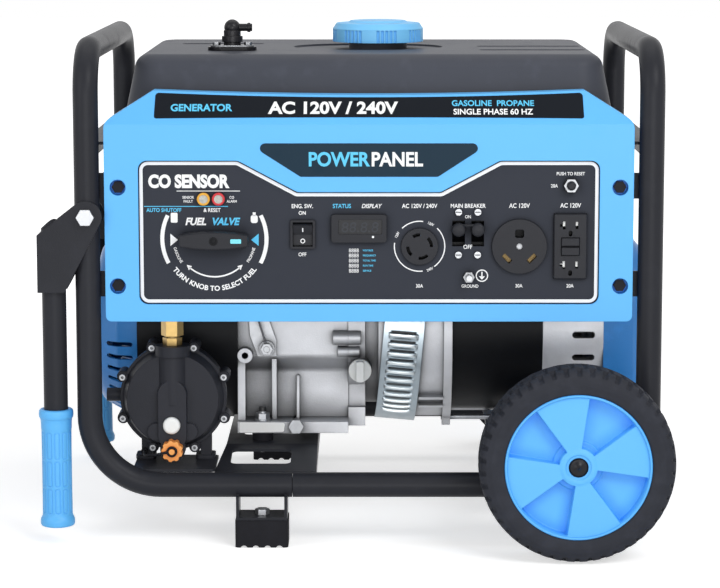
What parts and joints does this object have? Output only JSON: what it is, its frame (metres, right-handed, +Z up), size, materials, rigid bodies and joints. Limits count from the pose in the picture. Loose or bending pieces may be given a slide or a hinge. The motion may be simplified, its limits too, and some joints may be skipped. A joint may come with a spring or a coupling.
{
  "type": "portable generator",
  "caption": "Portable open-frame generator with a tube frame on wheels and feet, folding handles, fuel tank, outlet panel, engine, alternator and gas regulator.",
  "frame": {"origin": "middle of the overall box at floor level", "axes": "+X to the right seen from the panel side, +Y from the panel to the back, +Z up"},
  "size_m": [0.64, 0.624, 0.5275],
  "materials": {
    "frame_black": "satin black powder coat",
    "blue_plastic": "moulded, slight grain",
    "blue_metal": "gloss paint",
    "rubber": "moulded rubber",
    "tyre": "solid tyre",
    "rim_plastic": "moulded, satin",
    "black_plastic": "moulded",
    "black_bolt": "black zinc",
    "zinc": "bright zinc",
    "panel_grey": "matte print",
    "black_metal": "satin paint",
    "device_black": "moulded, satin",
    "button_red": "moulded",
    "lamp_lens": "clear tinted",
    "tank_black": "satin powder coat",
    "cast_alloy": "die cast",
    "pale_plastic": "moulded",
    "muffler_steel": "heat dulled",
    "flywheel_iron": "machined",
    "shaft_steel": "machined",
    "regulator_black": "die cast, black paint",
    "brass": "turned",
    "orange_plastic": "moulded"
  },
  "bodies": {
    "frame": {"frame_left_hoop": "frame_black", "frame_right_hoop": "frame_black", "cross_rails": "frame_black", "welded_brackets": "frame_black", "panel_bezel": "blue_plastic", "recoil_cover": "blue_metal", "end_cover": "blue_metal", "vibration_mounts": "rubber", "rubber_feet": "rubber", "cap_tether": "rubber", "stub_axles": "black_plastic", "frame_bolts": "zinc", "bezel_bolts": "black_bolt", "machine_screws": "zinc", "panel_hardware": "zinc", "vent_clamp": "zinc", "louvre_band": "zinc", "control_panel": "panel_grey", "panel_box": "black_metal", "switchgear_bodies": "device_black", "twist_lock_receptacle": "device_black", "rv_receptacle": "device_black", "duplex_receptacle": "device_black", "indicator_lights": "lamp_lens", "fuel_tank": "tank_black", "vent_valve": "device_black", "crankcase": "cast_alloy", "crankcase_cover": "cast_alloy", "cylinder_head": "cast_alloy", "alternator_adapter": "cast_alloy", "rear_bell": "cast_alloy", "fan_housing": "black_metal", "air_cleaner": "black_plastic", "muffler": "muffler_steel", "stator": "black_metal", "regulator_body": "regulator_black", "regulator_cover": "regulator_black", "regulator_fittings": "brass"},
    "front_wheel": {"wheel_rim_front": "rim_plastic", "wheel_tyre_front": "tyre"},
    "rear_wheel": {"wheel_rim_rear": "rim_plastic", "wheel_tyre_rear": "tyre"},
    "front_handle": {"handle_arm_front": "frame_black", "handle_grip_front": "blue_plastic"},
    "rear_handle": {"handle_arm_rear": "frame_black", "handle_grip_rear": "blue_plastic"},
    "selector": {"selector_knob": "device_black"},
    "rocker": {"switch_rocker": "device_black"},
    "breaker_lever": {"breaker_toggle": "device_black"},
    "reset_push": {"breaker_reset_button": "device_black"},
    "test_push": {"duplex_test_button": "device_black"},
    "outlet_reset_push": {"duplex_reset_button": "button_red"},
    "primer": {"primer_button": "pale_plastic"},
    "cap_seal": {"fuel_cap_seal": "rubber"},
    "fuel_cap": {"fuel_cap": "blue_plastic"},
    "inlet_cap": {"inlet_cap": "orange_plastic"},
    "oil_cap": {"oil_cap": "pale_plastic"},
    "governor": {"governor_lever": "zinc"},
    "rotating_set": {"flywheel": "flywheel_iron", "rotor_shaft": "shaft_steel"}
  },
  "joints": [
    {"name": "front_wheel_spin", "type": "hinge", "parent": "frame", "child": "front_wheel", "pos_m": [0.222, -0.281, 0.098], "axis": [0, 1, 0], "continuous": true},
    {"name": "rear_wheel_spin", "type": "hinge", "parent": "frame", "child": "rear_wheel", "pos_m": [0.222, 0.281, 0.098], "axis": [0, 1, 0], "continuous": true},
    {"name": "front_handle_fold", "type": "hinge", "parent": "frame", "child": "front_handle", "pos_m": [-0.268, -0.215, 0.3375], "axis": [0, 1, 0], "range_deg": [0, 90]},
    {"name": "rear_handle_fold", "type": "hinge", "parent": "frame", "child": "rear_handle", "pos_m": [-0.268, 0.215, 0.3375], "axis": [0, 1, 0], "range_deg": [0, 90]},
    {"name": "selector_turn", "type": "hinge", "parent": "frame", "child": "selector", "pos_m": [-0.1397, -0.222, 0.3146], "axis": [0, 1, 0], "range_deg": [0, 180]},
    {"name": "rocker_tip", "type": "hinge", "parent": "frame", "child": "rocker", "pos_m": [-0.051, -0.219, 0.3192], "axis": [-1, 0, 0], "range_deg": [0, 24]},
    {"name": "breaker_throw", "type": "hinge", "parent": "frame", "child": "breaker_lever", "pos_m": [0.115, -0.21, 0.32], "axis": [1, 0, 0], "range_deg": [0, 30]},
    {"name": "reset_press", "type": "slide", "parent": "frame", "child": "reset_push", "axis": [0, 1, 0], "range_m": [0, 0.003], "stiffness_N_per_m": 400},
    {"name": "test_press", "type": "slide", "parent": "frame", "child": "test_push", "axis": [0, 1, 0], "range_m": [0, 0.0012], "stiffness_N_per_m": 400},
    {"name": "outlet_reset_press", "type": "slide", "parent": "frame", "child": "outlet_reset_push", "axis": [0, 1, 0], "range_m": [0, 0.0012], "stiffness_N_per_m": 400},
    {"name": "primer_press", "type": "slide", "parent": "frame", "child": "primer", "axis": [0, 1, 0], "range_m": [0, 0.003], "stiffness_N_per_m": 400},
    {"name": "fuel_cap_lift", "type": "slide", "parent": "frame", "child": "cap_seal", "axis": [0, 0, 1], "range_m": [0, 0.06]},
    {"name": "fuel_cap_twist", "type": "hinge", "parent": "cap_seal", "child": "fuel_cap", "pos_m": [0.0251, 0, 0.505], "axis": [0, 0, 1], "range_deg": [0, 90]},
    {"name": "inlet_cap_twist", "type": "hinge", "parent": "frame", "child": "inlet_cap", "pos_m": [-0.1862, -0.196, 0.0928], "axis": [0, -1, 0], "range_deg": [0, 360]},
    {"name": "oil_cap_twist", "type": "hinge", "parent": "frame", "child": "oil_cap", "pos_m": [0.006, -0.1, 0.159], "axis": [0, -1, 0], "range_deg": [0, 360]},
    {"name": "governor_swing", "type": "hinge", "parent": "frame", "child": "governor", "pos_m": [-0.0925, -0.093, 0.182], "axis": [0, 1, 0], "range_deg": [-12, 12], "stiffness_Nm_per_rad": 0.15},
    {"name": "crank_spin", "type": "hinge", "parent": "frame", "child": "rotating_set", "pos_m": [0.0155, 0, 0.196], "axis": [1, 0, 0], "continuous": true}
  ]
}
